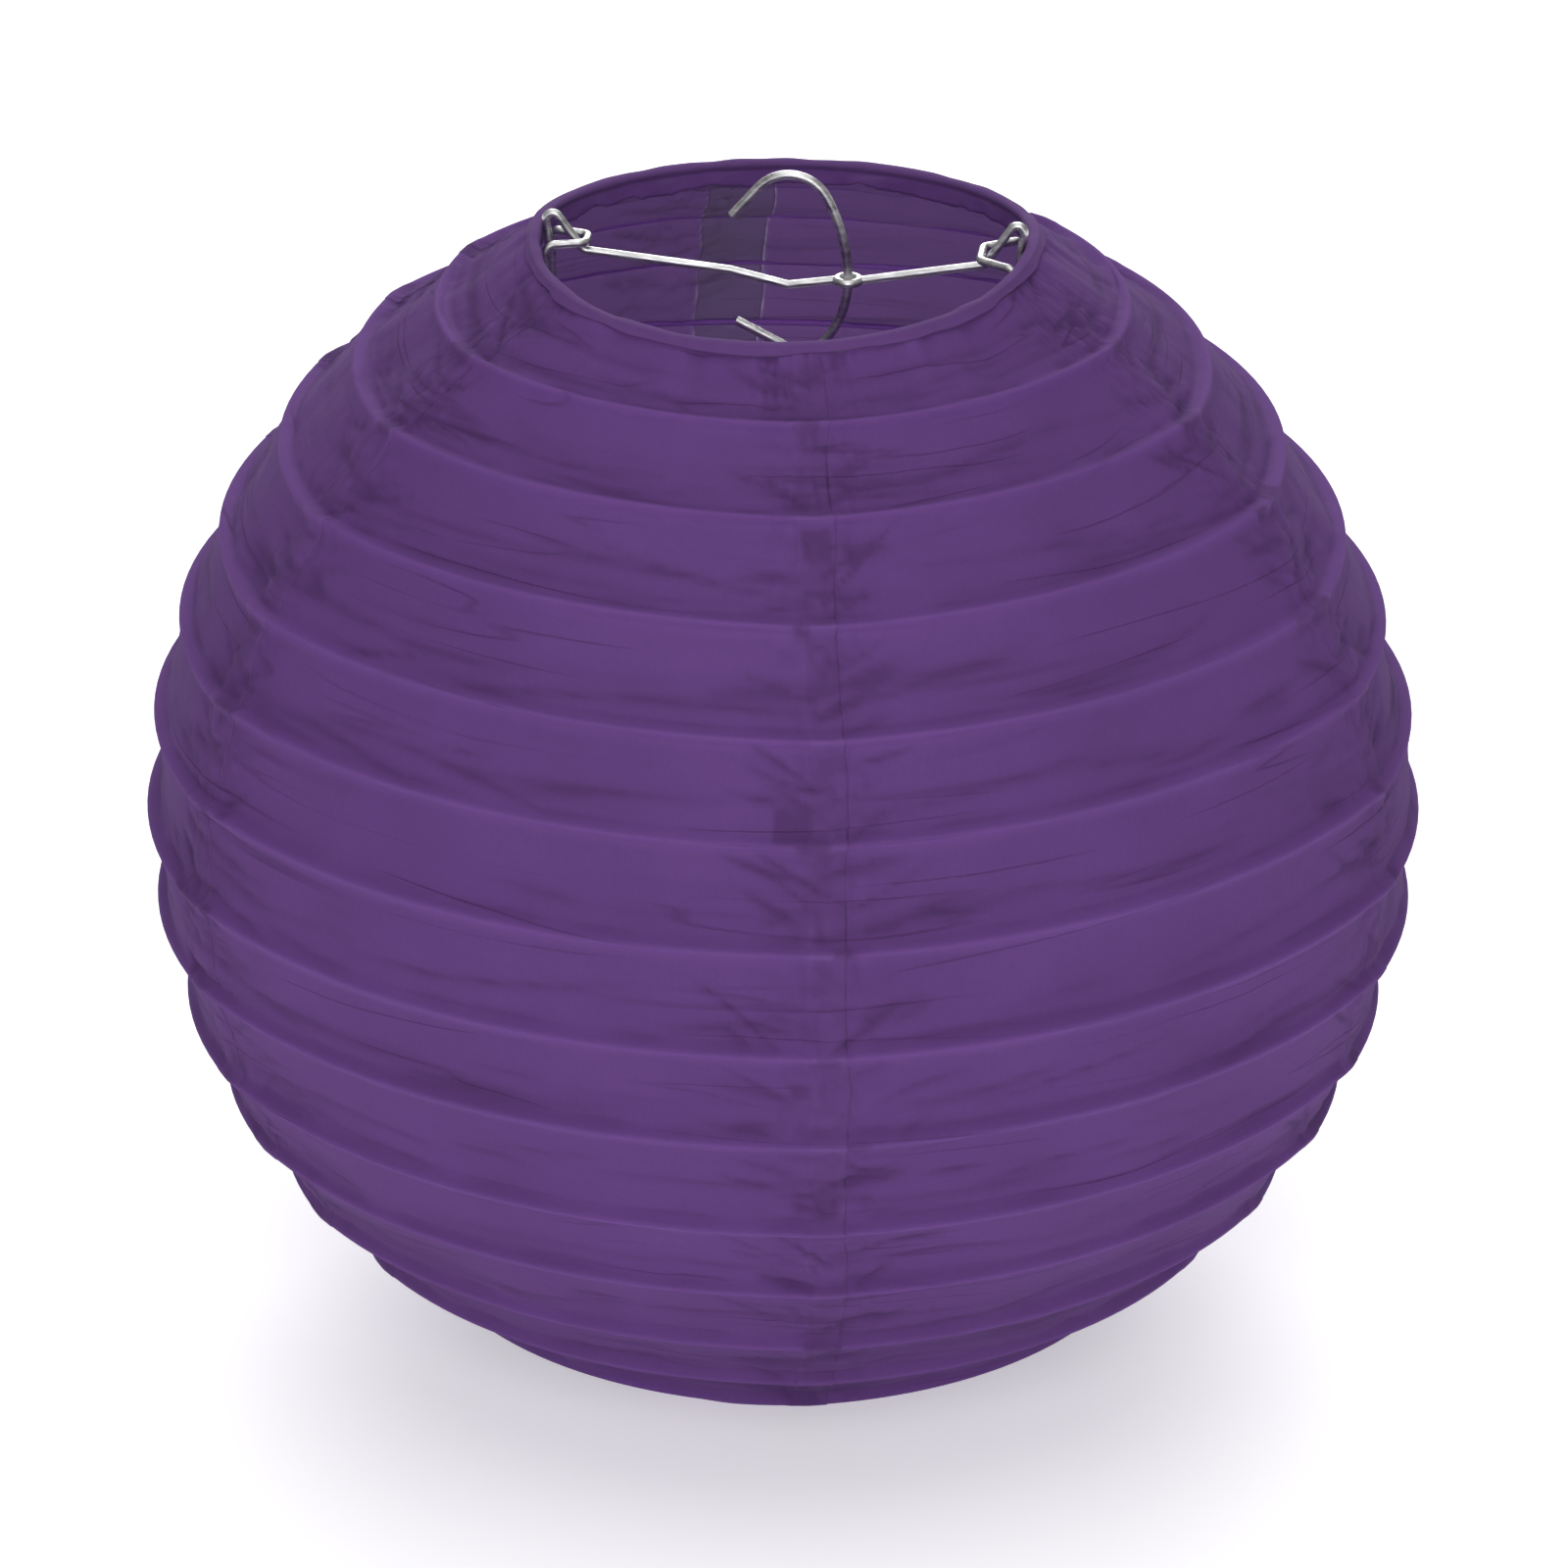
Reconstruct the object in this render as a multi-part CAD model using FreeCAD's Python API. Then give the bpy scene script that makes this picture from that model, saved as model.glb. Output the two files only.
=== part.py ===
import FreeCAD, Part
import math
import os

# Accordion paper lantern: a folding paper globe on thin steel hoops, held open by a
# bent-wire expander that carries a hook. +Z is up, the crossbar runs along X, and the
# origin is on the floor under the middle of the bottom mouth. Millimetres and degrees.

RADIUS = 152.4            # of the widest rib, at a paper seam
FLATTENING = 0.96         # height over radius of the globe's outline
MOUTH_ANGLE = 23.0        # of both mouth rings, from the pole
RIB_ANGLES = [32.5, 42.0, 52.0, 62.0, 71.0, 80.5, 90.0, 99.0, 109.0, 117.5, 127.0, 136.0, 146.5]
SEAM_ANGLES = [-79.6, -16.6, 47.4, 111.4, 162.0, 212.4]   # of the six gores, from +X
RIB_STICK = 0.8           # radius of a paper-wrapped bamboo rib
RING_WIRE = 1.0           # wire radii
FRAME_WIRE = 1.0
HANGER_WIRE = 1.1
HEM_INNER = 1.1           # the paper rolled round each mouth ring
HEM_OUTER = 1.45
PAPER_THICKNESS = 0.15
PAPER_GAP = 0.35          # between a rib and the paper over it
SEAM_GAP = 0.15           # half the gap between neighbouring gores
TOP_RADIUS = 60.3         # mean radius of the top ring, pulled oval along the crossbar
OVAL = 2.0                # by this much less along X and more along Y
TOP_LIFT = 1.7            # its mean height above the globe's own outline
SADDLE = 1.4              # it is bent up by this much over the crossbar's ends
EAR_LIFT = 1.5            # with a narrow peak over each of the crossbar's ears
LEFT_LEG_X = -55.4        # the expander's upright legs
LEFT_LEG_Y = 5.7
RIGHT_LEG_X = 54.8
RIGHT_LEG_Y = 10.4
HAIRPIN_END = 46.2        # how far out the legs' closed ends reach inwards to
EYE_X = 15.0              # where the crossbar is coiled round the hanger

GLOBE_CENTRE = HEM_OUTER + FLATTENING * RADIUS * math.cos(math.radians(MOUTH_ANGLE))
MOUTH_RADIUS = RADIUS * math.sin(math.radians(MOUTH_ANGLE))
PAPER_OFFSET = RIB_STICK + PAPER_GAP
UP = FreeCAD.Vector(0, 0, 1)


def point(x, y, z):
    return FreeCAD.Vector(x, y, z)


def save(shape, node):
    shape.exportStep("parts/" + node + ".step")


# Outline of the globe

def outline(angle, offset=0.0):
    """Radius and height of the globe's outline, moved outwards by offset."""
    turn = math.radians(angle)
    across = math.sin(turn)
    along = math.cos(turn)
    length = math.hypot(FLATTENING * across, along)
    radius = RADIUS * across + offset * FLATTENING * across / length
    height = GLOBE_CENTRE + FLATTENING * RADIUS * along + offset * along / length
    return radius, height


def flatness(angle):
    """How far the hoop's stretches between seams are flattened towards straight lines."""
    return 0.1 + 0.12 * math.exp(-((angle - 50.0) / 24.0) ** 2)


def gore_arc(radius, flat, start, end):
    """Centre offset along the gore's middle line, and radius, of its flattened arc."""
    half = math.radians(end - start) / 2
    middle = 1 - flat * (1 - math.cos(half))
    offset = radius * (1 - middle ** 2) / (2 * (math.cos(half) - middle))
    return offset, radius * middle - offset


def gore_spans():
    ends = SEAM_ANGLES[1:] + [SEAM_ANGLES[0] + 360]
    return list(zip(SEAM_ANGLES, ends))


def polar(radius, angle, height):
    turn = math.radians(angle)
    return point(radius * math.cos(turn), radius * math.sin(turn), height)


# Hoops

def hoop_path(radius, flat, height):
    """Closed hoop: one flattened arc per gore, rounded where it passes a seam."""
    bend = 0.1 * radius
    arcs = []
    for start, end in gore_spans():
        offset, size = gore_arc(radius, flat, start, end)
        middle = (start + end) / 2
        arcs.append((polar(offset, middle, height), size, middle))
    corners = []
    for index, seam in enumerate(SEAM_ANGLES):
        before = arcs[index - 1]
        after = arcs[index]
        corners.append(corner_arc(before, after, polar(radius, seam, height), bend))
    edges = []
    for index, (first, top, last) in enumerate(corners):
        centre, size, middle = arcs[index]
        follow = corners[(index + 1) % len(corners)][0]
        crest = centre + polar(size, middle, 0)
        edges.append(Part.Arc(first, top, last).toShape())
        edges.append(Part.Arc(last, crest, follow).toShape())
    return Part.Wire(edges)


def corner_arc(before, after, corner, bend):
    """Three points of the arc that rounds the corner between two gore arcs."""
    first_centre, first_size, _ = before
    last_centre, last_size, _ = after
    between = last_centre - first_centre
    distance = between.Length
    near = first_size - bend
    far = last_size - bend
    along = (near ** 2 - far ** 2 + distance ** 2) / (2 * distance)
    aside = math.sqrt(near ** 2 - along ** 2)
    unit = between * (1 / distance)
    side = UP.cross(unit)
    middle = first_centre + unit * along
    centre = min((middle + side * aside, middle - side * aside), key=corner.distanceToPoint)
    first = centre + (centre - first_centre).normalize() * bend
    last = centre + (centre - last_centre).normalize() * bend
    top = centre + (corner - centre).normalize() * bend
    return first, top, last


def rod(path, radius, start, direction):
    """Round wire of a given radius along a path."""
    profile = Part.Wire(Part.Circle(start, direction, radius).toShape())
    return path.makePipeShell([profile], True, False)


def rib(angle):
    radius, height = outline(angle)
    path = hoop_path(radius, flatness(angle), height)
    first = path.OrderedEdges[0]
    begin = first.FirstParameter
    return rod(path, RIB_STICK, first.valueAt(begin), first.tangentAt(begin))


# Mouth rings and the paper rolled round them

def top_mouth(angle):
    """Radius and height of the top ring's centre line."""
    turn = math.radians(angle)
    radius = TOP_RADIUS - OVAL * math.cos(2 * turn)
    mean = 2 * GLOBE_CENTRE - HEM_OUTER + TOP_LIFT
    height = mean + SADDLE * math.cos(2 * turn) + EAR_LIFT * math.cos(turn) ** 12
    return radius, height


def bottom_mouth(angle):
    return MOUTH_RADIUS, HEM_OUTER


def top_path():
    count = 36
    points = []
    for index in range(count):
        angle = 360 * index / count
        radius, height = top_mouth(angle)
        points.append(polar(radius, angle, height))
    curve = Part.BSplineCurve()
    curve.interpolate(Points=points, PeriodicFlag=True)
    return Part.Wire(curve.toShape())


def hem_profile(mouth, opening):
    """Open loop of paper round a mouth ring at +X; opening is the angle of its gap."""
    radius, height = mouth(0)
    centre = point(radius, 0, height)
    half_gap = 28

    def at(radius, angle):
        turn = math.radians(angle)
        return centre + point(radius * math.cos(turn), 0, radius * math.sin(turn))

    first = opening + half_gap
    last = opening + 360 - half_gap
    middle = (first + last) / 2
    outer = Part.Arc(at(HEM_OUTER, first), at(HEM_OUTER, middle), at(HEM_OUTER, last)).toShape()
    inner = Part.Arc(at(HEM_INNER, last), at(HEM_INNER, middle), at(HEM_INNER, first)).toShape()
    closing = Part.makeLine(at(HEM_OUTER, last), at(HEM_INNER, last))
    opening_line = Part.makeLine(at(HEM_INNER, first), at(HEM_OUTER, first))
    return Part.Wire([outer, closing, inner, opening_line])


def along_top(profile):
    sweep = Part.BRepOffsetAPI.MakePipeShell(top_path())
    sweep.setBiNormalMode(UP)
    sweep.add(profile)
    sweep.build()
    sweep.makeSolid()
    return sweep.shape()


def top_ring():
    radius, height = top_mouth(0)
    section = Part.Circle(point(radius, 0, height), point(0, 1, 0), RING_WIRE)
    return along_top(Part.Wire(section.toShape()))


def top_hem():
    return along_top(hem_profile(top_mouth, -45))


def bottom_ring():
    return Part.makeTorus(MOUTH_RADIUS, RING_WIRE, point(0, 0, HEM_OUTER))


def bottom_hem():
    profile = Part.Face(hem_profile(bottom_mouth, 45))
    return profile.revolve(point(0, 0, 0), UP, 360)


# Paper gores

def level_curve(angle, offset, start, end):
    """A gore's edge over one rib, with its two end points."""
    radius, height = outline(angle, offset)
    shift, size = gore_arc(radius, flatness(angle), start, end)
    middle = (start + end) / 2
    centre = polar(shift, middle, height)

    def at(side):
        half = math.radians((end - start) / 2) - SEAM_GAP / radius
        reach = shift * math.cos(half)
        reach += math.sqrt(shift ** 2 * (math.cos(half) ** 2 - 1) + size ** 2)
        return polar(reach, middle + side * math.degrees(half), height)

    crest = centre + polar(size, middle, 0)
    return Part.Arc(at(-1), crest, at(1)).toShape()


def mouth_curve(neighbour, mouth, offset, start, end):
    """A gore's edge just clear of a mouth's hem, on the line to the neighbouring rib."""
    count = 6
    clearance = HEM_OUTER + 0.35
    beside = level_curve(neighbour, offset, start, end)
    first = beside.FirstParameter
    span = beside.LastParameter - first
    points = []
    for index in range(count + 1):
        far = beside.valueAt(first + span * index / count)
        angle = math.degrees(math.atan2(far.y, far.x))
        radius, height = mouth(angle)
        near = polar(radius + offset * 0.4, angle, height)
        points.append(near + (far - near).normalize() * clearance)
    curve = Part.BSplineCurve()
    curve.interpolate(points)
    return curve.toShape()


def gore_levels(offset, start, end):
    levels = [mouth_curve(RIB_ANGLES[0], top_mouth, offset, start, end)]
    levels += [level_curve(angle, offset, start, end) for angle in RIB_ANGLES]
    levels.append(mouth_curve(RIB_ANGLES[-1], bottom_mouth, offset, start, end))
    return levels


def ends(edge):
    return edge.valueAt(edge.FirstParameter), edge.valueAt(edge.LastParameter)


def gore(start, end):
    """Thin closed shell of one gore: its two faces, two seam edges and two mouth edges."""
    inner = gore_levels(PAPER_OFFSET, start, end)
    outer = gore_levels(PAPER_OFFSET + PAPER_THICKNESS, start, end)
    faces = [Part.makeRuledSurface(inner[0], outer[0]), Part.makeRuledSurface(inner[-1], outer[-1])]
    for index in range(len(inner) - 1):
        faces.append(Part.makeRuledSurface(inner[index], inner[index + 1]))
        faces.append(Part.makeRuledSurface(outer[index], outer[index + 1]))
        for side in (0, 1):
            inside = Part.makeLine(ends(inner[index])[side], ends(inner[index + 1])[side])
            outside = Part.makeLine(ends(outer[index])[side], ends(outer[index + 1])[side])
            faces.append(Part.makeRuledSurface(inside, outside))
    shell = Part.Shell(faces)
    shell.sewShape()
    solid = Part.Solid(Part.Shell(shell.Faces))
    if solid.Volume < 0:
        solid.reverse()
    return solid


# Wire expander

def bent_path(points, bend):
    """Straight stretches joined by arcs that touch both, at every inner point."""
    edges = []
    last = points[0]
    for index in range(1, len(points) - 1):
        corner = points[index]
        back = (points[index - 1] - corner).normalize()
        ahead = (points[index + 1] - corner).normalize()
        half = back.getAngle(ahead) / 2
        reach = bend / math.tan(half)
        first = corner + back * reach
        after = corner + ahead * reach
        inward = (back + ahead).normalize()
        middle = corner + inward * (bend / math.sin(half) - bend)
        edges.append(Part.makeLine(last, first))
        edges.append(Part.Arc(first, middle, after).toShape())
        last = after
    edges.append(Part.makeLine(last, points[-1]))
    return Part.Wire(edges)


def bent_wire(points, bend, radius):
    direction = (points[1] - points[0]).normalize()
    return rod(bent_path(points, bend), radius, points[0], direction)


def in_frame(x, height):
    """A point of the crossbar's plane, with its height above the globe's centre."""
    return point(x, 0, GLOBE_CENTRE + height)


EYE_HEIGHT = 128.9
EYE_RADIUS = 2.6
EYE_WIRE = FRAME_WIRE + 0.06


def crossbar():
    left = [
        in_frame(-54.9, 133.8),
        in_frame(-56.7, 147.2),
        in_frame(-47.0, 133.9),
        in_frame(-12.7, 130.4),
        in_frame(1.0, 127.2),
        in_frame(EYE_X - EYE_RADIUS, EYE_HEIGHT),
    ]
    right = [
        in_frame(EYE_X + EYE_RADIUS, EYE_HEIGHT),
        in_frame(46.9, 134.0),
        in_frame(57.0, 148.8),
        in_frame(54.9, 133.8),
    ]
    eye = Part.makeTorus(EYE_RADIUS, EYE_WIRE, in_frame(EYE_X, EYE_HEIGHT))
    bars = [bent_wire(left, 1.6, FRAME_WIRE), bent_wire(right, 1.6, FRAME_WIRE)]
    return eye.fuse(bars).removeSplitter()


def expander_half(side):
    """Front or back half of the doubled wire: hairpin, leg, floor stretch, leg, hairpin."""
    top = GLOBE_CENTRE + 136.7
    floor = 3.6
    left_turn = 3.0
    right_turn = 4.6
    points = [
        point(-HAIRPIN_END, 0, top),
        point(-HAIRPIN_END, side * left_turn, top),
        point(LEFT_LEG_X, side * LEFT_LEG_Y, top),
        point(LEFT_LEG_X, side * LEFT_LEG_Y, floor),
        point(RIGHT_LEG_X, side * RIGHT_LEG_Y, floor),
        point(RIGHT_LEG_X, side * RIGHT_LEG_Y, top),
        point(HAIRPIN_END, side * right_turn, top),
        point(HAIRPIN_END, 0, top),
    ]
    return bent_wire(points, 2.2, FRAME_WIRE)


def expander_loop():
    return expander_half(-1).fuse(expander_half(1)).removeSplitter()


# Hanger: an open C of wire through the crossbar's eye, with a smaller bend below it

def hanger_half(side, back_radius, back_turn, bend_radius, bend_turn, tip_length):
    """From the eye upwards (side 1) or downwards (side -1), round the bend to the tip."""
    back_centre = in_frame(EYE_X - back_radius, EYE_HEIGHT)

    def heading(angle):
        turn = math.radians(side * angle)
        return point(math.cos(turn), 0, math.sin(turn))

    bend_centre = back_centre + heading(back_turn) * (back_radius - bend_radius)
    eye = back_centre + heading(0) * back_radius
    shoulder = back_centre + heading(back_turn) * back_radius
    close = bend_centre + heading(bend_turn) * bend_radius
    tip = close + heading(bend_turn + 90) * tip_length
    back = Part.Arc(eye, back_centre + heading(back_turn / 2) * back_radius, shoulder)
    crest = bend_centre + heading((back_turn + bend_turn) / 2) * bend_radius
    bend = Part.Arc(shoulder, crest, close)
    path = Part.Wire([back.toShape(), bend.toShape(), Part.makeLine(close, tip)])
    return rod(path, HANGER_WIRE, eye, UP)


def hanger():
    upper = hanger_half(1, 43.2, 28.0, 9.7, 139.0, 9.5)
    lower = hanger_half(-1, 24.0, 40.0, 7.0, 117.0, 13.6)
    return upper.fuse(lower).removeSplitter()


os.makedirs("parts", exist_ok=True)
save(top_ring(), "top_ring")
save(top_hem(), "top_hem")
save(bottom_ring(), "bottom_ring")
save(bottom_hem(), "bottom_hem")
for number, rib_angle in enumerate(RIB_ANGLES, start=1):
    save(rib(rib_angle), "rib_%02d" % number)
for number, (gore_start, gore_end) in enumerate(gore_spans(), start=1):
    save(gore(gore_start, gore_end), "gore_%d" % number)
save(crossbar(), "crossbar")
save(expander_loop(), "expander_loop")
save(hanger(), "hanger")
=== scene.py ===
import math

import bpy
import numpy as np
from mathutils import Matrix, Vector
from mathutils.bvhtree import BVHTree


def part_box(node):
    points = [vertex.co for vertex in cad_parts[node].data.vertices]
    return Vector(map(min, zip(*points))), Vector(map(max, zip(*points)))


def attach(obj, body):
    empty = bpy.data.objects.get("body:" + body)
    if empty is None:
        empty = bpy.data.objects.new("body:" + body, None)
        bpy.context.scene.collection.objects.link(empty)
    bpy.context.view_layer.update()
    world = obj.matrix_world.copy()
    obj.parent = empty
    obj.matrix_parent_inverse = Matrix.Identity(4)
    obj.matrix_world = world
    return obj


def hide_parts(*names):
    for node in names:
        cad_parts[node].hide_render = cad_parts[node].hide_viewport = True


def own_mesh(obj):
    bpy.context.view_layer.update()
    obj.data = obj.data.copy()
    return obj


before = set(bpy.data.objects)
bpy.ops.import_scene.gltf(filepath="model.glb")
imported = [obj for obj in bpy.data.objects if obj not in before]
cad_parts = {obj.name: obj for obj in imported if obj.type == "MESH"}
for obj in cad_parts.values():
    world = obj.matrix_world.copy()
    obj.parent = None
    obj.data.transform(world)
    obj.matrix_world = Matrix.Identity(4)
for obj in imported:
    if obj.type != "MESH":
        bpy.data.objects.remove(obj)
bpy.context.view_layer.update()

# Accordion paper lantern: six paper gores glued over thirteen wrapped ribs, with rolled
# paper rims and a bent-wire expander. Metres; +Z is up; the crossbar runs along X.

MM = 0.001
TURN = 2 * math.pi
RIB_NODES = ["rib_%02d" % number for number in range(1, 14)]
GORE_NODES = ["gore_%d" % number for number in range(1, 7)]
BANDS = len(RIB_NODES) + 1

PAPER_THICKNESS = 0.14 * MM
# At each seam the gore after it starts this far before it, and the one before it ends
# this far past it.
STARTS_BEFORE = [4 * MM, 4.5 * MM, 4.5 * MM, 15 * MM, 4.5 * MM, 5 * MM]
ENDS_PAST = [4 * MM, 4.5 * MM, 4.5 * MM, 1 * MM, 4.5 * MM, 5 * MM]
SLANTS = [0, 0, 0, 17 * MM, 0, 0]    # how far both edges of a flap drift back going down
GLUED = [0.55, 0.55, 0.55, 1, 0.55, 0.55]    # how much the glue in an overlap clears the paper
FLAP_LIFT = 0.18 * MM            # of the upper layer of an overlap
RIDGE = 1.22 * MM                # the paper's height over a rib's centre line
RIB_CLEARANCE = 0.35 * MM        # least gap from a rib's surface to the paper's outer face


# Places from the frame

def centre_height(node):
    low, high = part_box(node)
    return (low.z + high.z) / 2


def half_height(node):
    low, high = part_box(node)
    return (high.z - low.z) / 2


def node_points(node):
    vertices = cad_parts[node].data.vertices
    flat = np.empty(len(vertices) * 3)
    vertices.foreach_get("co", flat)
    return flat.reshape(-1, 3)


RING_WIRE = half_height("bottom_ring")
BOTTOM = centre_height("bottom_ring")
BOTTOM_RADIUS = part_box("bottom_ring")[1].x - RING_WIRE
RIB_RADIUS = half_height("rib_07")
HEIGHTS = [centre_height(node) for node in RIB_NODES]
GLOBE_CENTRE = centre_height("rib_07")
GLOBE_RADIUS = 0.1524            # half of the nominal 12 inches
FLATTENING = 0.96                # the globe's height against its width
EVEN_ORDERS = 7                  # cosine terms that describe the bent top ring


def even_waves(angle):
    return np.stack([np.cos(2 * order * angle) for order in range(EVEN_ORDERS)], axis=-1)


def ring_centre_line(node):
    """Radius and height of a bent ring's centre line as sums of even cosines of the angle."""
    points = node_points(node)
    waves = even_waves(np.arctan2(points[:, 1], points[:, 0]))
    radius = np.linalg.lstsq(waves, np.hypot(points[:, 0], points[:, 1]), rcond=None)[0]
    height = np.linalg.lstsq(waves, points[:, 2], rcond=None)[0]
    return radius, height


TOP_RADIUS_WAVES, TOP_HEIGHT_WAVES = ring_centre_line("top_ring")


def hoop_radii(node, count=720):
    """Radius of a rib's centre line at evenly spaced angles, read off its solid."""
    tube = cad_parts[node].data
    tree = BVHTree.FromPolygons([v.co for v in tube.vertices], [p.vertices for p in tube.polygons])
    axis = Vector((0, 0, centre_height(node)))
    radii = []
    for step in range(count):
        angle = TURN * step / count
        hit = tree.ray_cast(axis, Vector((math.cos(angle), math.sin(angle), 0)))
        radii.append(hit[0].xy.length + RIB_RADIUS)
    return np.array(radii + radii[:1])


HOOPS = [hoop_radii(node) for node in RIB_NODES]


def hoop_radius(number, angle):
    """Radius of the hoop (0 is the top ring, BANDS the bottom one) at an array of angles."""
    if number == 0:
        return even_waves(angle) @ TOP_RADIUS_WAVES
    if number == BANDS:
        return np.full_like(angle, BOTTOM_RADIUS)
    table = HOOPS[number - 1]
    place = (angle % TURN) / TURN * (len(table) - 1)
    return np.interp(place, np.arange(len(table)), table)


def hoop_height(number, angle):
    if number == 0:
        return even_waves(angle) @ TOP_HEIGHT_WAVES
    if number == BANDS:
        return np.full_like(angle, BOTTOM)
    return np.full_like(angle, HEIGHTS[number - 1])


def seam_angles():
    """Angle of the seam before each gore, read off the gore solids."""
    seams = []
    for node in GORE_NODES:
        points = node_points(node)
        middle = math.atan2(points[:, 1].mean(), points[:, 0].mean())
        around = (np.arctan2(points[:, 1], points[:, 0]) - middle + math.pi) % TURN - math.pi
        seams.append(middle + around.min())
    return seams


SEAMS = seam_angles()


def gore_span(number):
    start = SEAMS[number]
    end = SEAMS[(number + 1) % len(SEAMS)]
    return start, start + (end - start) % TURN


# Smooth repeatable noise, from tables of random numbers with fixed seeds

def lattice(seed, across, along):
    return np.random.default_rng(seed).uniform(-1, 1, (across, along))


def smooth_noise(table, u, v):
    """Noise between -1 and 1 from a lattice; u wraps round, v stops at the ends."""
    across, along = table.shape
    v = np.clip(v, 0, along - 1.001)
    left = np.floor(u).astype(int)
    low = np.floor(v).astype(int)
    x = u - left
    y = v - low
    x = x * x * (3 - 2 * x)
    y = y * y * (3 - 2 * y)
    near = table[left % across, low] * (1 - x) + table[(left + 1) % across, low] * x
    far = table[left % across, low + 1] * (1 - x) + table[(left + 1) % across, low + 1] * x
    return near * (1 - y) + far * y


def smoothstep(low, high, x):
    t = np.clip((x - low) / (high - low), 0, 1)
    return t * t * (3 - 2 * t)


# Shape of the paper between the ribs

DEPTH_NOISE = lattice(11, 42, BANDS + 1)
SHIFT_NOISE = lattice(12, 36, BANDS + 1)
VALLEY_NOISE = lattice(13, 90, BANDS + 1)
FINE_NOISE = lattice(14, 150, 80)
BROAD_NOISE = lattice(15, 26, 22)
CRUMPLE_NOISE = lattice(16, 230, 90)
PUCKER_NOISE = lattice(17, 96, 4)
EDGE_NOISE = lattice(18, 12, 34)
CREASES_PER_BAND = 46
CREASES_PER_SEAM = 8             # in each band, short ones beside the seam
LOOSE_MARKS = 26                 # glue marks away from the seams
SAG = 1.35                       # mean depth of the paper between two ribs, in millimetres
SAG_CHANGE = 0.8                 # how much deeper or shallower it gets
SAG_POWER = 0.6                  # how squarely the sagging paper meets the rib below


def patches():
    """Glue marks where a seam crosses a rib: angle, place, half width, half height, strength."""
    rng = np.random.default_rng(8)
    rows = []
    for seam in SEAMS:
        for rib in range(1, BANDS):
            for _ in range(rng.integers(1, 4)):
                rows.append((
                    seam + rng.normal(0, 3.5) * MM / GLOBE_RADIUS,
                    rib + rng.normal(0, 0.16),
                    rng.uniform(1.5, 4.5) * MM,
                    rng.uniform(0.04, 0.2),
                    rng.uniform(0.1, 0.75),
                ))
    for _ in range(LOOSE_MARKS):
        rows.append((
            rng.uniform(0, TURN),
            rng.uniform(1, BANDS),
            rng.uniform(1.5, 4) * MM,
            rng.uniform(0.05, 0.16),
            rng.uniform(0.08, 0.2),
        ))
    return rows


PATCHES = patches()


def patch_tone(angle, place, radius):
    tone_with_painted_light = np.zeros_like(angle)
    for centre, level, half_width, half_rise, strength in PATCHES:
        along = np.abs((angle - centre + math.pi) % TURN - math.pi) * radius
        beside = 1 - smoothstep(half_width - 0.5 * MM, half_width + 0.5 * MM, along)
        within = 1 - smoothstep(half_rise - 0.03, half_rise + 0.03, np.abs(place - level))
        tone_with_painted_light = np.maximum(tone_with_painted_light, strength * beside * within)
    return tone_with_painted_light


def creases():
    """Folds in the paper: rows of angle, place, half length, slope, depth, width, bend."""
    rng = np.random.default_rng(5)
    rows = []
    for band in range(BANDS):
        for _ in range(CREASES_PER_BAND):
            rows.append((
                rng.uniform(0, TURN),
                band + 0.3 + 0.6 * rng.beta(2.2, 1.6),
                rng.uniform(8, 42) * MM,
                rng.normal(0, 0.08),
                rng.uniform(0.12, 0.6) * MM,
                rng.uniform(0.5, 1.0) * MM,
                rng.normal(0, 1.2),
            ))
        for seam in SEAMS:
            for _ in range(CREASES_PER_SEAM):
                side = rng.choice((-1, 1))
                rows.append((
                    seam + side * rng.uniform(3, 22) * MM / GLOBE_RADIUS,
                    band + rng.uniform(0.15, 0.9),
                    rng.uniform(4, 12) * MM,
                    side * rng.normal(0.35, 0.3),
                    rng.uniform(0.25, 0.8) * MM,
                    rng.uniform(0.5, 1.1) * MM,
                    rng.normal(0, 8),
                ))
    return rows


CREASES = creases()


def seam_distance(angle, radius):
    """Distance along the paper to the nearest seam line."""
    nearest = np.full_like(angle, 1.0)
    for seam in SEAMS:
        turn = np.abs((angle - seam + math.pi) % TURN - math.pi)
        nearest = np.minimum(nearest, turn * radius)
    return nearest


def crease_depth(angle, place, radius, band_length):
    depth = np.zeros_like(angle)
    for centre, level, half, slope, deep, width, bend in CREASES:
        low = max(0.0, level - 0.75)
        near = np.nonzero((place > low) & (place < level + 0.75))
        if not len(near[0]):
            continue
        turn = (angle[near] - centre + math.pi) % TURN - math.pi
        along = turn * radius[near]
        inside = np.abs(along) < half
        rise = slope * along + bend * along ** 2
        across = (place[near] - level) * -band_length[near] - rise
        ends = np.clip(1 - (along / half) ** 2, 0, 1)
        depth[near] += np.where(inside, deep * ends * np.exp(-np.abs(across) / width), 0)
    return depth


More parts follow.
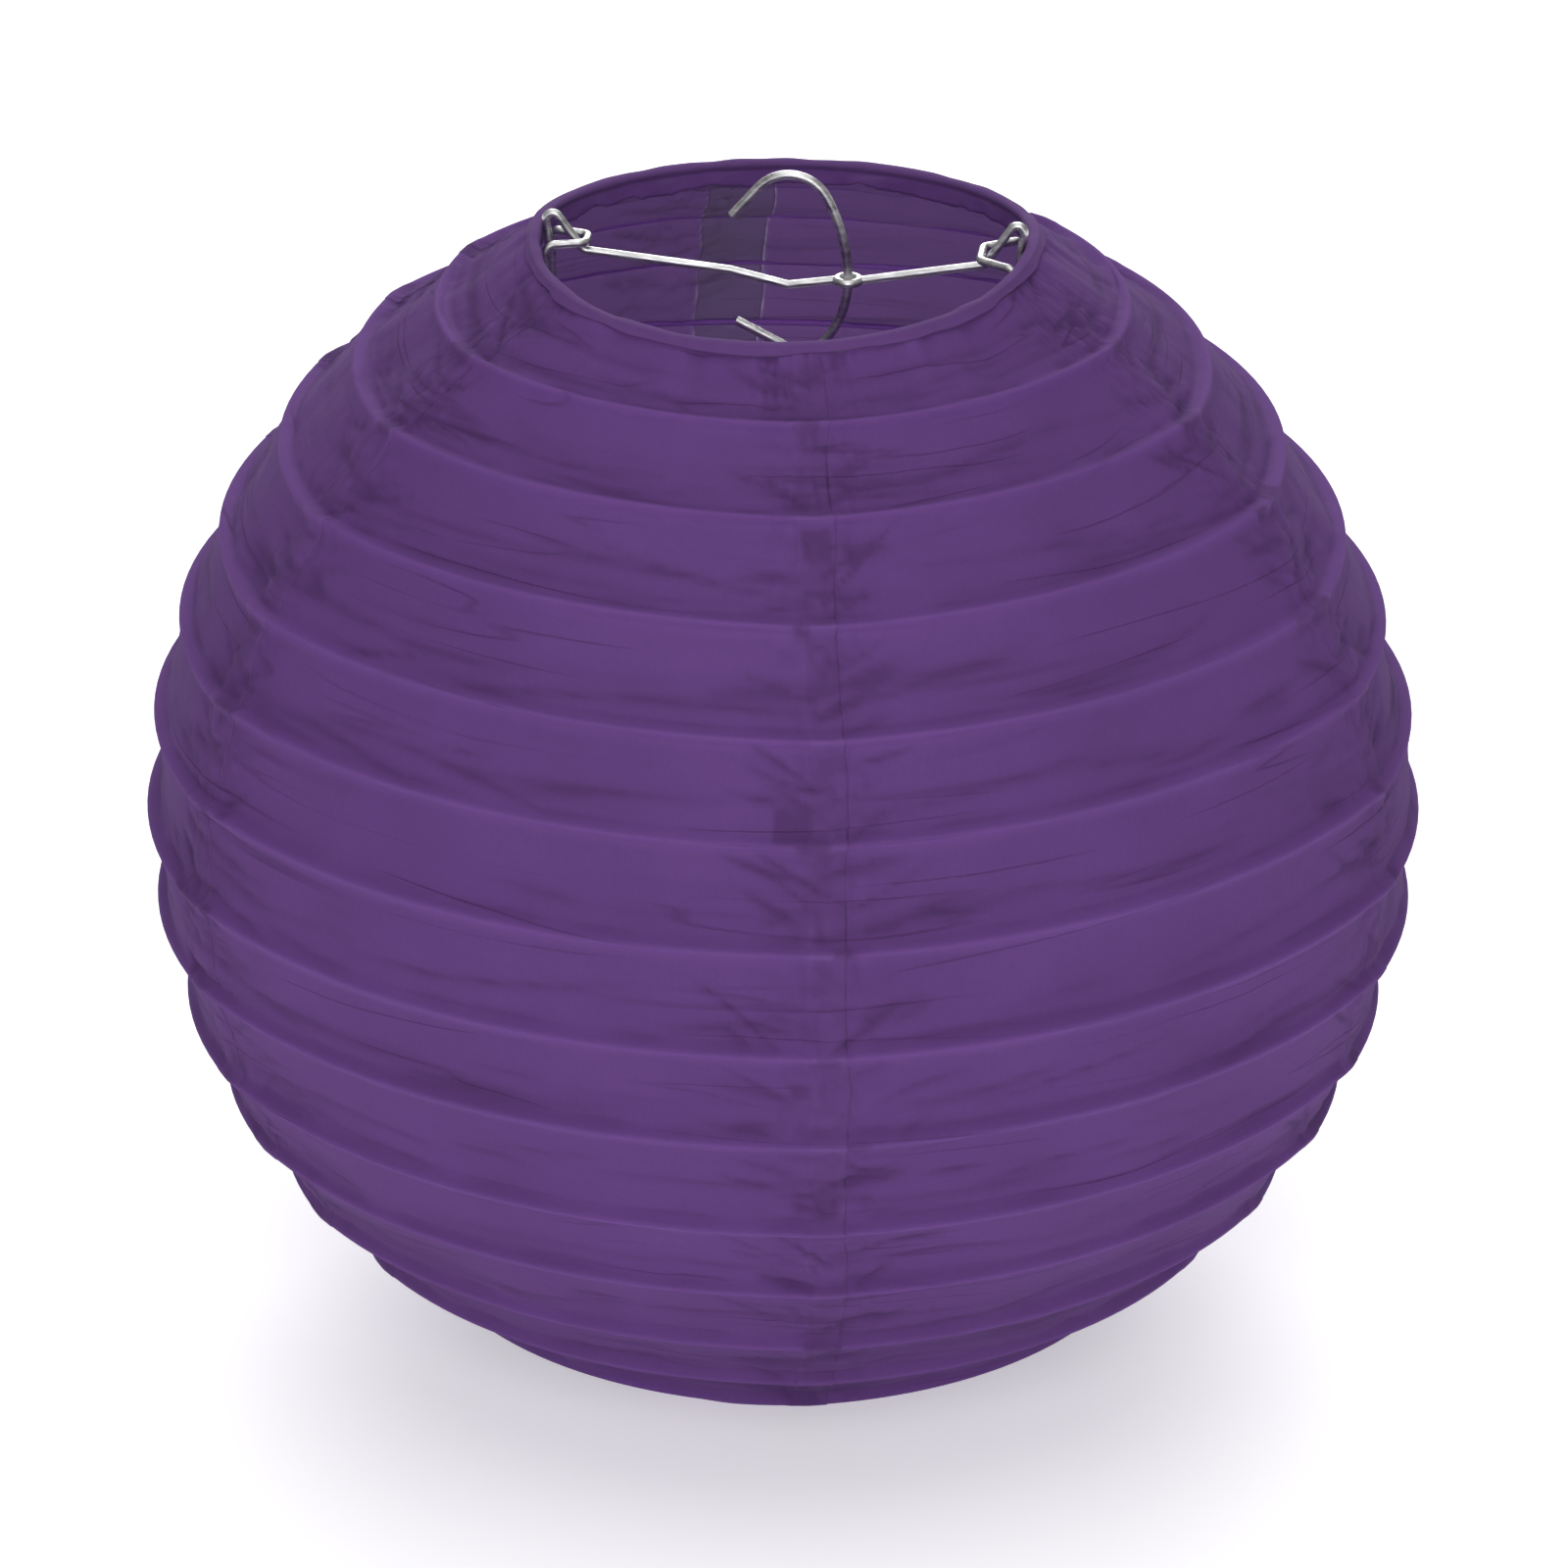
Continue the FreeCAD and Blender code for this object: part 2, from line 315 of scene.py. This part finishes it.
def paper_height(angle, place):
    """How far the paper stands outside the line between two hoops, and its tone: painted shade in
    creases, valleys, dents and the lower bands, painted highlights along the ribs, and glue marks.
    """
    band = np.clip(np.floor(place).astype(int), 0, BANDS - 1)
    t = place - band
    radius = np.zeros_like(angle)
    length = np.zeros_like(angle)
    for number in range(BANDS):
        here = band == number
        a = angle[here]
        upper = hoop_radius(number, a)
        lower = hoop_radius(number + 1, a)
        drop = hoop_height(number, a) - hoop_height(number + 1, a)
        radius[here] = upper + (lower - upper) * t[here]
        length[here] = np.hypot(lower - upper, drop)
    above = t * length
    below = (1 - t) * length
    lap = angle / TURN
    seam = seam_distance(angle, radius)
    depth = SAG + SAG_CHANGE * smooth_noise(DEPTH_NOISE, lap * 42, band + 0.0)
    depth *= 0.55 + 0.45 * smoothstep(4 * MM, 20 * MM, seam)
    peak = 0.62 + 0.12 * smooth_noise(SHIFT_NOISE, lap * 36, band + 0.0)
    rise = SAG_POWER * peak / (1 - peak)
    sag = (t / peak) ** rise * ((1 - t) / (1 - peak)) ** SAG_POWER
    height = -depth * MM * sag
    nearest = np.minimum(above, below)
    height += RIDGE * np.exp(-(nearest / (1.5 * MM)) ** 2)
    valley = 0.38 + 0.38 * smooth_noise(VALLEY_NOISE, lap * 90, band + 0.0)
    valley *= smoothstep(0.0, 0.4, place) * smoothstep(0, 0.3, BANDS - place)
    height -= valley * MM * np.exp(-((below - 2.6 * MM) / (1.0 * MM)) ** 2)
    # noise dies away towards the ribs
    wide_fade = np.minimum(1, nearest / (3 * MM))
    narrow_fade = np.minimum(1, nearest / (2 * MM))
    height += 0.35 * MM * smooth_noise(BROAD_NOISE, lap * 26, place * 1.5) * wide_fade
    height += 0.16 * MM * smooth_noise(FINE_NOISE, lap * 150, place * 5.5) * narrow_fade
    crumple = np.abs(smooth_noise(CRUMPLE_NOISE, lap * 230, place * 6.2))
    crumpled = 1 - smoothstep(6 * MM, 20 * MM, seam)
    height -= crumpled * 0.8 * MM * (1 - np.sqrt(crumple)) * narrow_fade
    folds = smooth_noise(PUCKER_NOISE, lap * 96, np.zeros_like(lap))
    height += 0.8 * MM * folds * np.exp(-place / 0.5) * wide_fade
    height += 0.45 * MM * folds * np.exp(-(BANDS - place) / 0.6) * wide_fade
    deep = crease_depth(angle, place, radius, length) * np.minimum(1, nearest / (1.5 * MM))
    height -= deep
    # Painted shade and light: creases, the valley just above each rib, the crumpled dents by the seams
    # and the lower bands are painted darker, the paper along each rib and the raised puckers by the top
    # rim are painted lighter, and the paper by each seam is a little darker.
    tone_with_painted_light = 0.7 * np.clip(deep / (0.5 * MM), 0, 1)
    tone_with_painted_light += 0.05 * (1 - smoothstep(3.7 * MM, 4.3 * MM, seam))
    tone_with_painted_light += 0.5 * valley * np.exp(-((below - 2.7 * MM) / (0.55 * MM)) ** 2)
    tone_with_painted_light -= 0.6 * np.exp(-(nearest / (1.6 * MM)) ** 2)
    tone_with_painted_light += crumpled * 0.25 * (1 - np.sqrt(crumple))
    tone_with_painted_light -= 0.25 * folds * np.exp(-place / 0.4)
    tone_with_painted_light += 0.4 * smoothstep(9.0, 13.0, place)
    marks = patch_tone(angle, place, radius)
    tone_with_painted_light = np.where(marks > 0.02, np.maximum(tone_with_painted_light, marks), tone_with_painted_light)
    wrapped = RIB_RADIUS + RIB_CLEARANCE
    over_rib = np.sqrt(np.clip(wrapped ** 2 - nearest ** 2, 0, None))
    height = np.where(nearest < wrapped, np.maximum(height, over_rib), height)
    return height, tone_with_painted_light


def paper_points(angle, place, lift):
    """Points of the paper at arrays of angle and place (0 at the top ring, BANDS at the bottom)."""
    band = np.clip(np.floor(place).astype(int), 0, BANDS - 1)
    t = place - band
    radius = np.zeros_like(angle)
    level = np.zeros_like(angle)
    for number in range(BANDS):
        here = band == number
        a = angle[here]
        upper = hoop_radius(number, a)
        lower = hoop_radius(number + 1, a)
        top = hoop_height(number, a)
        base = hoop_height(number + 1, a)
        radius[here] = upper + (lower - upper) * t[here]
        level[here] = top + (base - top) * t[here]
    polar = np.arctan2(radius, (level - GLOBE_CENTRE) / FLATTENING)
    out = FLATTENING * np.sin(polar)
    up = np.cos(polar)
    size = np.hypot(out, up)
    height, tone_with_painted_light = paper_height(angle, place)
    height = height + lift
    radius = radius + height * out / size
    level = level + height * up / size
    points = np.stack((radius * np.cos(angle), radius * np.sin(angle), level), axis=-1)
    return points, tone_with_painted_light


# Meshes

def new_piece(name, points, faces, body):
    mesh = bpy.data.meshes.new(name)
    mesh.from_pydata([tuple(p) for p in points], [], faces)
    mesh.validate()
    mesh.update()
    mesh.polygons.foreach_set("use_smooth", [True] * len(mesh.polygons))
    piece = bpy.data.objects.new(name, mesh)
    bpy.context.scene.collection.objects.link(piece)
    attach(piece, body)
    return piece


def grid_faces(rows, columns, first=0, flip=False, wrap=False):
    faces = []
    across = columns if wrap else columns - 1
    for row in range(rows - 1):
        for column in range(across):
            a = first + row * columns + column
            b = first + row * columns + (column + 1) % columns
            c = b + columns
            d = a + columns
            faces.append((a, b, c, d) if flip else (a, d, c, b))
    return faces


def closed_sheet(outer, thickness):
    """Vertices and faces of a thin closed sheet from a grid of points on its outer face."""
    rows, columns, _ = outer.shape
    down = np.gradient(outer, axis=0)
    side = np.gradient(outer, axis=1)
    normal = np.cross(down, side)
    normal /= np.linalg.norm(normal, axis=-1, keepdims=True)
    inner = outer - normal * thickness
    count = rows * columns
    points = np.concatenate((outer.reshape(-1, 3), inner.reshape(-1, 3)))
    faces = grid_faces(rows, columns) + grid_faces(rows, columns, count, flip=True)
    edge = [column for column in range(columns)]
    edge += [row * columns + columns - 1 for row in range(1, rows)]
    edge += [(rows - 1) * columns + column for column in range(columns - 2, -1, -1)]
    edge += [row * columns for row in range(rows - 2, 0, -1)]
    for index, vertex in enumerate(edge):
        follow = edge[(index + 1) % len(edge)]
        faces.append((vertex, follow, follow + count, vertex + count))
    return points, faces


def set_attribute(mesh, name, values):
    layer = mesh.attributes.new(name, "FLOAT", "POINT")
    layer.data.foreach_set("value", np.asarray(values, dtype=np.float32))


ROWS_PER_BAND = 24
GORE_COLUMNS = 148


def graded(count, share):
    """Parameters from 0 to 1, closer together towards both ends."""
    even = np.arange(count + 1) / count
    return share * (0.5 - 0.5 * np.cos(math.pi * even)) + (1 - share) * even


def seam_reach(seam, places):
    """How far the gore after a seam starts before it, and the one before it ends past it."""
    lines = places[:, None] * 2.3
    slant = SLANTS[seam] * np.tanh(places[:, None] / 4)
    first_row = np.full_like(lines, 2 * seam)
    starts = STARTS_BEFORE[seam] + slant + 0.9 * MM * smooth_noise(EDGE_NOISE, first_row, lines)
    ends = ENDS_PAST[seam] - slant + 0.9 * MM * smooth_noise(EDGE_NOISE, first_row + 1, lines)
    return starts, ends


def gore(number):
    start, end = gore_span(number)
    after_seam = (number + 1) % len(SEAMS)
    steps = graded(ROWS_PER_BAND, 0.6)[:-1]
    places = np.concatenate([band + steps for band in range(BANDS)] + [[float(BANDS)]])
    places = np.unique(np.clip(places, 0.07, BANDS - 0.09))
    columns = graded(GORE_COLUMNS, 0.35)
    place = np.repeat(places[:, None], len(columns), axis=1)
    middle = np.array([(start + end) / 2])
    radii = [hoop_radius(hoop, middle)[0] for hoop in range(BANDS + 1)]
    ring = np.interp(places, np.arange(BANDS + 1), radii)[:, None]
    starts, neighbour_ends = seam_reach(number, places)
    next_starts, ends = seam_reach(after_seam, places)
    first = start - starts / ring
    last = end + ends / ring
    angle = first + columns[None, :] * (last - first)
    into_flap = (angle - end) * ring + next_starts
    lift = FLAP_LIFT * smoothstep(-4 * MM, 0, into_flap)
    points, tone_with_painted_light = paper_points(angle, place, lift)
    vertices, faces = closed_sheet(points, PAPER_THICKNESS)
    piece = new_piece("paper_gore_%d" % (number + 1), vertices, faces, "base")
    set_attribute(piece.data, "tone_with_painted_light", np.tile(tone_with_painted_light.reshape(-1), 2))
    lapped = np.maximum(
        GLUED[number] * smoothstep(-0.3 * MM, 0.3 * MM, (start - angle) * ring + neighbour_ends),
        GLUED[after_seam] * smoothstep(-0.3 * MM, 0.3 * MM, into_flap),
    )
    set_attribute(piece.data, "lapped", np.tile(lapped.reshape(-1), 2))
    set_attribute(piece.data, "around", np.tile((angle * GLOBE_RADIUS).reshape(-1), 2))
    set_attribute(piece.data, "place", np.tile(place.reshape(-1), 2))
    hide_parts(GORE_NODES[number])
    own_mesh(piece)
    return piece


# Rolled rims: an outer skirt over the gores' ends, the roll round the ring, an inner flap

SKIRT_ROWS = 8
ROLL_ROWS = 13
FLAP_ROWS = 10
ROLL_END = SKIRT_ROWS + ROLL_ROWS


def rim_profile(angle, side):
    """Offsets outwards and upwards from the ring's centre line, a row for each step round it."""
    lap = angle / TURN
    roll = 1.42 * MM + 0.22 * MM * smooth_noise(ROLL_NOISE, lap * 64, np.zeros_like(lap))
    skirt = 2.2 * MM + 0.6 * MM * smooth_noise(ROLL_NOISE, lap * 64, np.ones_like(lap))
    flap = 4.6 * MM + 1.1 * MM * smooth_noise(ROLL_NOISE, lap * 64, np.full_like(lap, 2))
    flap += 0.3 * MM * smooth_noise(FRAY_NOISE, lap * 360, np.zeros_like(lap))
    wave = 0.5 * MM * smooth_noise(FRAY_NOISE, lap * 360 / 4, np.ones_like(lap))
    rows = []
    skirt_slope = math.radians(-35)
    for step in range(SKIRT_ROWS):
        reach = skirt * (1 - step / SKIRT_ROWS)
        lean = 0.35 + 0.65 * (step / SKIRT_ROWS) ** 1.5
        rows.append((
            roll * math.sin(-skirt_slope) * lean + reach * math.cos(skirt_slope),
            roll * math.cos(skirt_slope) * lean
            + reach * math.sin(skirt_slope)
            + 0.25 * wave * step / SKIRT_ROWS,
        ))
    for step in range(ROLL_ROWS):
        turn = math.radians(55 + 125 * step / (ROLL_ROWS - 1))
        size = roll * (1 + 0.08 * math.sin(3 * turn))
        rows.append((size * math.cos(turn), size * math.sin(turn)))
    for step in range(1, FLAP_ROWS + 1):
        reach = flap * step / FLAP_ROWS
        rows.append((-roll + 0.12 * reach + wave * (step / FLAP_ROWS) ** 2, -reach))
    across = np.stack([row[0] for row in rows])
    up = np.stack([row[1] for row in rows]) * side
    return across, up


ROLL_NOISE = lattice(21, 64, 4)
FRAY_NOISE = lattice(22, 360, 3)


def closed_band(outer, thickness):
    """Thin closed sheet from a grid of points whose columns go once round."""
    rows, columns, _ = outer.shape
    down = np.gradient(outer, axis=0)
    side = np.roll(outer, -1, axis=1) - np.roll(outer, 1, axis=1)
    normal = np.cross(down, side)
    normal /= np.linalg.norm(normal, axis=-1, keepdims=True)
    inner = outer - normal * thickness
    count = rows * columns
    points = np.concatenate((outer.reshape(-1, 3), inner.reshape(-1, 3)))
    faces = grid_faces(rows, columns, wrap=True)
    faces += grid_faces(rows, columns, count, flip=True, wrap=True)
    for column in range(columns):
        follow = (column + 1) % columns
        last = (rows - 1) * columns
        faces.append((column, follow, follow + count, column + count))
        faces.append((last + follow, last + column, last + column + count, last + follow + count))
    return points, faces


def rim(node, body, hoop, side):
    angle = np.linspace(0, TURN, 720, endpoint=False)
    across, up = rim_profile(angle, side)
    radius = hoop_radius(hoop, angle) + across
    level = hoop_height(hoop, angle) + up
    outer = np.stack((radius * np.cos(angle), radius * np.sin(angle), level), axis=-1)
    outer[..., 2] = np.maximum(outer[..., 2], 0.1 * MM)
    if side < 0:
        outer = outer[:, ::-1]
    vertices, faces = closed_band(outer, PAPER_THICKNESS)
    piece = new_piece(node.replace("hem", "rolled_rim"), vertices, faces, body)
    step = np.arange(outer.shape[0])
    if side < 0:
        # the bottom rim is shaded from its flap to its skirt, the other way from the top one
        step = step[::-1]
    # Painted shade on the rim: darker along the skirt's edge, just under the roll, and over the skirt and
    # roll where they face the overhead lamp; the flap is painted lighter and its end darker.
    on_flap = step > ROLL_END
    painted_shade_under_roll = (step > ROLL_END - 3) & ~on_flap
    tone_with_painted_light = np.where(step < 1, 0.5, 0.0) + np.where(step > ROLL_END + FLAP_ROWS - 3, 0.6, 0.0)
    tone_with_painted_light += np.where(painted_shade_under_roll, 0.5, 0.0) - np.where(on_flap, 0.7, 0.0)
    tone_with_painted_light += np.where(step < ROLL_END - 2, 0.2, 0.0)
    tone_with_painted_light = np.repeat(tone_with_painted_light[:, None], outer.shape[1], axis=1)
    set_attribute(piece.data, "tone_with_painted_light", np.tile(tone_with_painted_light.reshape(-1), 2))
    set_attribute(piece.data, "lapped", np.ones(len(vertices)))
    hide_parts(node)
    return piece


# Materials

def node_material(name):
    material = bpy.data.materials.new(name)
    material.use_nodes = True
    tree = material.node_tree
    tree.nodes.clear()
    return material, tree


class Graph:
    """Short calls for adding and linking shader nodes."""

    def __init__(self, tree):
        self.tree = tree

    def add(self, kind, inputs=None, **settings):
        node = self.tree.nodes.new(kind)
        for key, value in settings.items():
            setattr(node, key, value)
        for key, value in (inputs or {}).items():
            if isinstance(value, bpy.types.NodeSocket):
                self.tree.links.new(value, node.inputs[key])
            else:
                node.inputs[key].default_value = value
        return node

    def noise(self, vector, scale, detail=3.0, roughness=0.5):
        settings = {"Vector": vector, "Scale": scale, "Detail": detail, "Roughness": roughness}
        return self.add("ShaderNodeTexNoise", settings).outputs["Fac"]

    def math(self, operation, a, b=0.0, c=0.0):
        return self.add("ShaderNodeMath", {0: a, 1: b, 2: c}, operation=operation).outputs[0]

    def range(self, value, low, high, to_low=0.0, to_high=1.0):
        inputs = {"Value": value, "From Min": low, "From Max": high, "To Min": to_low, "To Max": to_high}
        return self.add("ShaderNodeMapRange", inputs).outputs[0]

    def stretched(self, vector, scale):
        return self.add("ShaderNodeMapping", {"Vector": vector, "Scale": scale}).outputs[0]

    def mix(self, factor, a, b):
        node = self.add("ShaderNodeMix", data_type="RGBA")
        for socket, value in ((node.inputs[0], factor), (node.inputs[6], a), (node.inputs[7], b)):
            if isinstance(value, bpy.types.NodeSocket):
                self.tree.links.new(value, socket)
            else:
                socket.default_value = value
        return node.outputs[2]


def shade(colour, factor):
    return tuple(channel * factor for channel in colour) + (1.0,)


PURPLE = (0.197, 0.085, 0.319)
WHITE = (1, 1, 1)


def paper_material(name, glow, glued_glow, painted_lightening=1.0):
    """Thin dyed paper; glow is the share of light through it, glued_glow where glue clears it. The last
    argument scales the whole colour; above 1 it paints the paper lighter, a painted highlight.
    """
    material, tree = node_material(name)
    graph = Graph(tree)
    where = graph.add("ShaderNodeTexCoord").outputs["Object"]
    tone_with_painted_light = graph.add("ShaderNodeAttribute", attribute_name="tone_with_painted_light").outputs["Fac"]
    blotch = graph.noise(where, 34.0, 4.0, 0.6)
    cloud = graph.noise(where, 11.0, 2.0)
    around = graph.add("ShaderNodeAttribute", attribute_name="around").outputs["Fac"]
    place = graph.add("ShaderNodeAttribute", attribute_name="place").outputs["Fac"]
    flat = graph.add("ShaderNodeCombineXYZ", {0: around, 1: place, 2: 0.0}).outputs[0]
    wander = graph.noise(graph.stretched(flat, (5.5, 2.6, 1.0)), 1.0, 1.6, 0.35)
    where_creased = graph.noise(graph.stretched(flat, (14.0, 1.1, 1.0)), 1.0, 1.0)
    line = graph.range(graph.math("ABSOLUTE", graph.math("SUBTRACT", wander, 0.5)), 0.0, 0.014, 1.0, 0.0)
    line = graph.math("MULTIPLY", line, graph.range(where_creased, 0.46, 0.6))
    fibre = graph.noise(graph.stretched(where, (900.0, 900.0, 260.0)), 1.0, 4.0, 0.65)
    speck = graph.noise(where, 1500.0, 2.0)
    # The tone attribute brings painted shade and painted highlights into the colour, and the crease lines
    # added next are painted darker, painted shade in the creases.
    dark = graph.math("ADD", tone_with_painted_light, graph.range(blotch, 0.3, 0.7, -0.12, 0.12))
    dark = graph.math("ADD", dark, graph.math("MULTIPLY", line, 0.5))
    dark = graph.math("ADD", dark, graph.range(cloud, 0.3, 0.7, -0.08, 0.08))
    dark = graph.math("ADD", dark, graph.range(fibre, 0.3, 0.7, -0.10, 0.10))
    dark = graph.math("ADD", dark, graph.range(speck, 0.3, 0.7, -0.05, 0.05))
    dark = graph.range(dark, -1.4, 1.0)
    colour = graph.mix(dark, shade(PURPLE, 1.48 * painted_lightening), shade(PURPLE, 0.62 * painted_lightening))
    grain = graph.math("ADD", graph.math("MULTIPLY", fibre, 0.6), graph.math("MULTIPLY", speck, 0.4))
    cockle = graph.noise(graph.stretched(where, (150.0, 150.0, 330.0)), 1.0, 3.0, 0.55)
    bump = graph.add("ShaderNodeBump", {"Strength": 0.35, "Distance": 0.00012, "Height": grain})
    bump = graph.add(
        "ShaderNodeBump",
        {"Strength": 0.5, "Distance": 0.0006, "Height": cockle, "Normal": bump.outputs[0]},
    )
    bump = graph.add(
        "ShaderNodeBump",
        {"Strength": 0.6, "Distance": 0.0004, "Height": line, "Normal": bump.outputs[0]},
        invert=True,
    )
    sheet = graph.add("ShaderNodeBsdfPrincipled", {
        "Base Color": colour, "Roughness": 0.86, "Specular IOR Level": 0.16, "Normal": bump.outputs[0],
        "Sheen Weight": 0.03, "Sheen Roughness": 0.5,
    })
    thin = graph.add("ShaderNodeGamma", {"Color": colour, "Gamma": 0.5}).outputs[0]
    lapped = graph.add("ShaderNodeAttribute", attribute_name="lapped").outputs["Fac"]
    clear = graph.mix(graph.range(lapped, 0.0, 1.0, 0.10, 0.55), thin, (1.0, 1.0, 1.0, 1.0))
    through = graph.add("ShaderNodeBsdfTranslucent", {"Color": clear, "Normal": bump.outputs[0]})
    share = graph.range(lapped, 0.55, 1.0, glow, glued_glow)
    both = graph.add("ShaderNodeMixShader", {0: share, 1: sheet.outputs[0], 2: through.outputs[0]})
    graph.add("ShaderNodeOutputMaterial", {"Surface": both.outputs[0]})
    return material


def wire_material(name, bright, roughness):
    """Drawn galvanised wire: long streaks, fine scratches, dull spots."""
    material, tree = node_material(name)
    graph = Graph(tree)
    where = graph.add("ShaderNodeTexCoord").outputs["Object"]
    streak = graph.noise(graph.stretched(where, (60.0, 900.0, 900.0)), 1.0, 3.0, 0.6)
    dull = graph.noise(where, 260.0, 4.0, 0.6)
    colour = graph.mix(graph.range(streak, 0.35, 0.68), shade(WHITE, bright), shade(WHITE, bright * 0.45))
    colour = graph.mix(graph.range(dull, 0.5, 0.75), colour, shade(WHITE, bright * 0.7))
    rough = graph.range(dull, 0.35, 0.7, roughness, roughness + 0.22)
    bump = graph.add("ShaderNodeBump", {"Strength": 0.3, "Distance": 0.00008, "Height": streak})
    metal = graph.add("ShaderNodeBsdfPrincipled", {
        "Base Color": colour, "Metallic": 1.0, "Roughness": rough, "Normal": bump.outputs[0],
    })
    graph.add("ShaderNodeOutputMaterial", {"Surface": metal.outputs[0]})
    return material


def dress(target, material):
    target.data.materials.clear()
    target.data.materials.append(material)


PAPER = paper_material("gore_paper", 0.47, 0.62)
RIM_PAPER = paper_material("rolled_rim_paper", 0.42, 0.42)
# The ribs' wrapping is the gore paper painted 2.2 times lighter, a painted highlight on the wrapped ribs.
RIB_WRAP_PAINTED_LIGHTER = paper_material("rib_wrapping_paper", 0.05, 0.05, 2.2)
BRIGHT_WIRE = wire_material("galvanised_wire", 0.84, 0.27)
DULL_WIRE = wire_material("ring_wire_steel", 0.5, 0.35)

for number in range(len(GORE_NODES)):
    dress(gore(number), PAPER)
for node in RIB_NODES:
    dress(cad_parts[node], RIB_WRAP_PAINTED_LIGHTER)
dress(rim("top_hem", "top_rim", 0, 1), RIM_PAPER)
dress(rim("bottom_hem", "base", BANDS, -1), RIM_PAPER)
for node in ("top_ring", "bottom_ring"):
    dress(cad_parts[node], DULL_WIRE)
for node in ("crossbar", "expander_loop", "hanger"):
    dress(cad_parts[node], BRIGHT_WIRE)


# Floor, light and camera

def floor():
    size = 12.0
    mesh = bpy.data.meshes.new("floor")
    corners = [(-size, -size, 0), (size, -size, 0), (size, size, 0), (-size, size, 0)]
    mesh.from_pydata(corners, [], [(0, 1, 2, 3)])
    ground = bpy.data.objects.new("floor", mesh)
    bpy.context.scene.collection.objects.link(ground)
    material, tree = node_material("pale_floor")
    graph = Graph(tree)
    grain = graph.noise(graph.add("ShaderNodeTexCoord").outputs["Object"], 3.0)
    white = graph.mix(grain, shade(WHITE, 0.93), shade(WHITE, 0.96))
    surface = graph.add("ShaderNodeBsdfPrincipled", {
        "Base Color": white, "Roughness": 0.9, "Specular IOR Level": 0.1,
        "Emission Color": (1, 1, 1, 1), "Emission Strength": 0.42,
    })
    graph.add("ShaderNodeOutputMaterial", {"Surface": surface.outputs[0]})
    dress(ground, material)


def soft_light(name, place, aim, width, power):
    light = bpy.data.lights.new(name, "AREA")
    light.shape = "DISK"
    light.size = width
    light.energy = power
    lamp = bpy.data.objects.new(name, light)
    lamp.location = place
    lamp.rotation_euler = (Vector(aim) - Vector(place)).to_track_quat("-Z", "Y").to_euler()
    bpy.context.scene.collection.objects.link(lamp)


def studio():
    world = bpy.data.worlds.new("studio")
    bpy.context.scene.world = world
    world.use_nodes = True
    background = world.node_tree.nodes["Background"]
    background.inputs["Color"].default_value = (1, 1, 1, 1)
    background.inputs["Strength"].default_value = 0.25
    middle = (0, 0, GLOBE_CENTRE)
    soft_light("overhead", (0, -0.2, 2.4), middle, 2.6, 25)
    soft_light("front", (0.2, -2.4, 1.3), middle, 1.6, 23)
    soft_light("back", (-0.2, 2.4, 1.2), middle, 1.8, 44)


def camera():
    distance = 13 * GLOBE_RADIUS
    elevation = math.radians(23.7)
    azimuth = math.radians(6.4)
    across = distance * math.cos(elevation)
    place = Vector((
        across * math.sin(azimuth),
        -across * math.cos(azimuth),
        GLOBE_CENTRE + distance * math.sin(elevation),
    ))
    data = bpy.data.cameras.new("camera")
    data.lens = 190
    data.sensor_width = 36
    data.clip_end = 50
    eye = bpy.data.objects.new("camera", data)
    eye.location = place
    aim = Vector((0, 0, GLOBE_CENTRE)) - place
    eye.rotation_euler = aim.to_track_quat("-Z", "Y").to_euler()
    bpy.context.scene.collection.objects.link(eye)
    bpy.context.scene.camera = eye


floor()
studio()
camera()
bpy.context.scene.view_settings.view_transform = "Standard"
